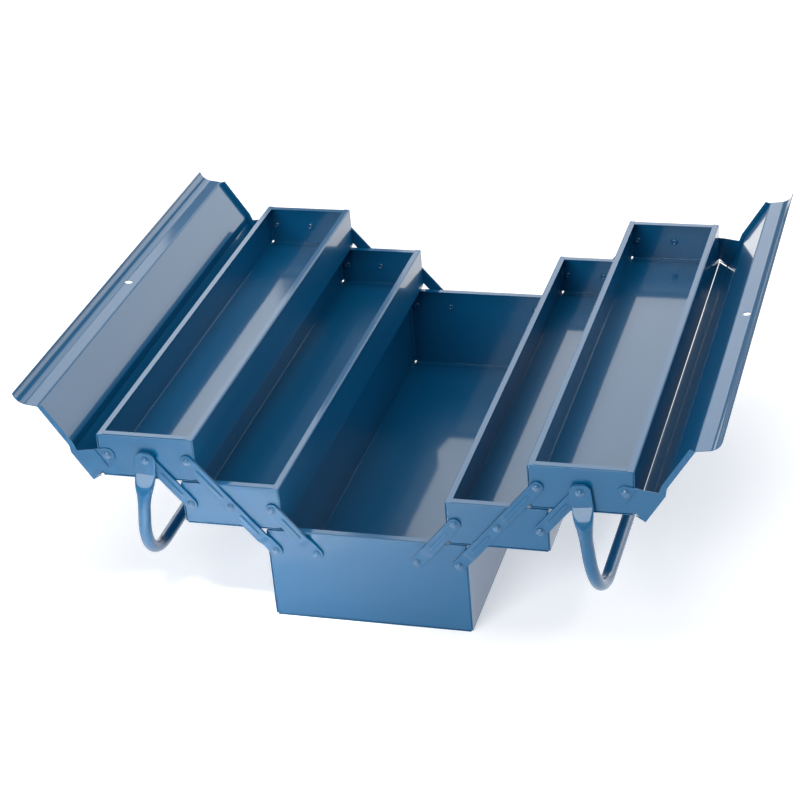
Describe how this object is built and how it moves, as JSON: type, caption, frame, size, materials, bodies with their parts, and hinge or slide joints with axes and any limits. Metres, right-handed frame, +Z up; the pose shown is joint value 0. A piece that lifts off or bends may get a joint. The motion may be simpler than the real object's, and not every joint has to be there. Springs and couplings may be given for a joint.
{
  "type": "cantilever toolbox",
  "caption": "Steel cantilever toolbox standing open: a deep base, stepped trays that swing out on riveted links, hinged lids and drop handles.",
  "frame": {"origin": "middle of the underside of the base, box standing open", "axes": "+X right across the trays, +Y back along the box, +Z up"},
  "size_m": [0.6862, 0.5648, 0.2346],
  "materials": {
    "pan_enamel": "gloss",
    "lid_enamel": "gloss",
    "link_enamel": "gloss",
    "handle_enamel": "gloss",
    "rivet_enamel": "gloss"
  },
  "bodies": {
    "base": {"base_body": "pan_enamel", "base_front_panel": "pan_enamel", "base_back_panel": "pan_enamel", "base_rivets": "rivet_enamel"},
    "left_long_links": {"left_front_long_link": "link_enamel", "left_back_long_link": "link_enamel"},
    "left_lower_links": {"left_front_lower_short_link": "link_enamel", "left_back_lower_short_link": "link_enamel"},
    "left_upper_links": {"left_front_upper_short_link": "link_enamel", "left_back_upper_short_link": "link_enamel"},
    "left_lower_tray": {"left_lower_tray_body": "pan_enamel", "left_lower_tray_front_panel": "pan_enamel", "left_lower_tray_back_panel": "pan_enamel", "left_lower_tray_rivets": "rivet_enamel"},
    "left_upper_tray": {"left_upper_tray_body": "pan_enamel", "left_upper_tray_front_panel": "pan_enamel", "left_upper_tray_back_panel": "pan_enamel", "left_upper_tray_rivets": "rivet_enamel", "left_handle_rivets": "rivet_enamel", "left_lid_rivets": "rivet_enamel"},
    "left_lid_body": {"left_lid": "lid_enamel"},
    "left_handle_body": {"left_handle": "handle_enamel"},
    "right_long_links": {"right_front_long_link": "link_enamel", "right_back_long_link": "link_enamel"},
    "right_lower_links": {"right_front_lower_short_link": "link_enamel", "right_back_lower_short_link": "link_enamel"},
    "right_upper_links": {"right_front_upper_short_link": "link_enamel", "right_back_upper_short_link": "link_enamel"},
    "right_lower_tray": {"right_lower_tray_body": "pan_enamel", "right_lower_tray_front_panel": "pan_enamel", "right_lower_tray_back_panel": "pan_enamel", "right_lower_tray_rivets": "rivet_enamel"},
    "right_upper_tray": {"right_upper_tray_body": "pan_enamel", "right_upper_tray_front_panel": "pan_enamel", "right_upper_tray_back_panel": "pan_enamel", "right_upper_tray_rivets": "rivet_enamel", "right_handle_rivets": "rivet_enamel", "right_lid_rivets": "rivet_enamel"},
    "right_lid_body": {"right_lid": "lid_enamel"},
    "right_handle_body": {"right_handle": "handle_enamel"}
  },
  "joints": [
    {"name": "left_fold", "type": "hinge", "parent": "base", "child": "left_long_links", "pos_m": [-0.0915, 0, 0.0765], "axis": [0, 1, 0], "range_deg": [0, 81.85]},
    {"name": "left_lower_links_turn", "type": "hinge", "parent": "base", "child": "left_lower_links", "pos_m": [-0.05025, 0, 0.0765], "axis": [0, 1, 0], "range_deg": [0, 81.85]},
    {"name": "left_lower_tray_level", "type": "hinge", "parent": "left_long_links", "child": "left_lower_tray", "pos_m": [-0.1315, 0, 0.124], "axis": [0, 1, 0], "range_deg": [-81.85, 0]},
    {"name": "left_upper_tray_level", "type": "hinge", "parent": "left_long_links", "child": "left_upper_tray", "pos_m": [-0.1715, 0, 0.1715], "axis": [0, 1, 0], "range_deg": [-81.85, 0]},
    {"name": "left_upper_links_turn", "type": "hinge", "parent": "left_upper_tray", "child": "left_upper_links", "pos_m": [-0.21275, 0, 0.1715], "axis": [0, 1, 0], "range_deg": [0, 81.85]},
    {"name": "left_lid_hinge", "type": "hinge", "parent": "left_upper_tray", "child": "left_lid_body", "pos_m": [-0.254, 0, 0.1715], "axis": [0, 1, 0], "range_deg": [0, 123]},
    {"name": "left_handle_swing", "type": "hinge", "parent": "left_upper_links", "child": "left_handle_body", "pos_m": [-0.21275, 0, 0.1715], "axis": [0, 1, 0], "range_deg": [0, 112.87]},
    {"name": "right_fold", "type": "hinge", "parent": "base", "child": "right_long_links", "pos_m": [0.0915, 0, 0.0765], "axis": [0, -1, 0], "range_deg": [0, 81.85]},
    {"name": "right_lower_links_turn", "type": "hinge", "parent": "base", "child": "right_lower_links", "pos_m": [0.05025, 0, 0.0765], "axis": [0, -1, 0], "range_deg": [0, 81.85]},
    {"name": "right_lower_tray_level", "type": "hinge", "parent": "right_long_links", "child": "right_lower_tray", "pos_m": [0.1315, 0, 0.124], "axis": [0, -1, 0], "range_deg": [-81.85, 0]},
    {"name": "right_upper_tray_level", "type": "hinge", "parent": "right_long_links", "child": "right_upper_tray", "pos_m": [0.1715, 0, 0.1715], "axis": [0, -1, 0], "range_deg": [-81.85, 0]},
    {"name": "right_upper_links_turn", "type": "hinge", "parent": "right_upper_tray", "child": "right_upper_links", "pos_m": [0.21275, 0, 0.1715], "axis": [0, -1, 0], "range_deg": [0, 81.85]},
    {"name": "right_lid_hinge", "type": "hinge", "parent": "right_upper_tray", "child": "right_lid_body", "pos_m": [0.254, 0, 0.1715], "axis": [0, -1, 0], "range_deg": [0, 118]},
    {"name": "right_handle_swing", "type": "hinge", "parent": "right_upper_links", "child": "right_handle_body", "pos_m": [0.21275, 0, 0.1715], "axis": [0, -1, 0], "range_deg": [0, 112.87]}
  ],
  "couplings": [
    {"joint": "left_lower_links_turn", "follows": "left_fold", "ratio": 1},
    {"joint": "left_lower_tray_level", "follows": "left_fold", "ratio": -1},
    {"joint": "left_upper_tray_level", "follows": "left_fold", "ratio": -1},
    {"joint": "left_upper_links_turn", "follows": "left_fold", "ratio": 1},
    {"joint": "left_handle_swing", "follows": "left_lid_hinge", "ratio": 0.91763},
    {"joint": "right_lower_links_turn", "follows": "right_fold", "ratio": 1},
    {"joint": "right_lower_tray_level", "follows": "right_fold", "ratio": -1},
    {"joint": "right_upper_tray_level", "follows": "right_fold", "ratio": -1},
    {"joint": "right_upper_links_turn", "follows": "right_fold", "ratio": 1},
    {"joint": "right_handle_swing", "follows": "right_lid_hinge", "ratio": 0.95651}
  ]
}
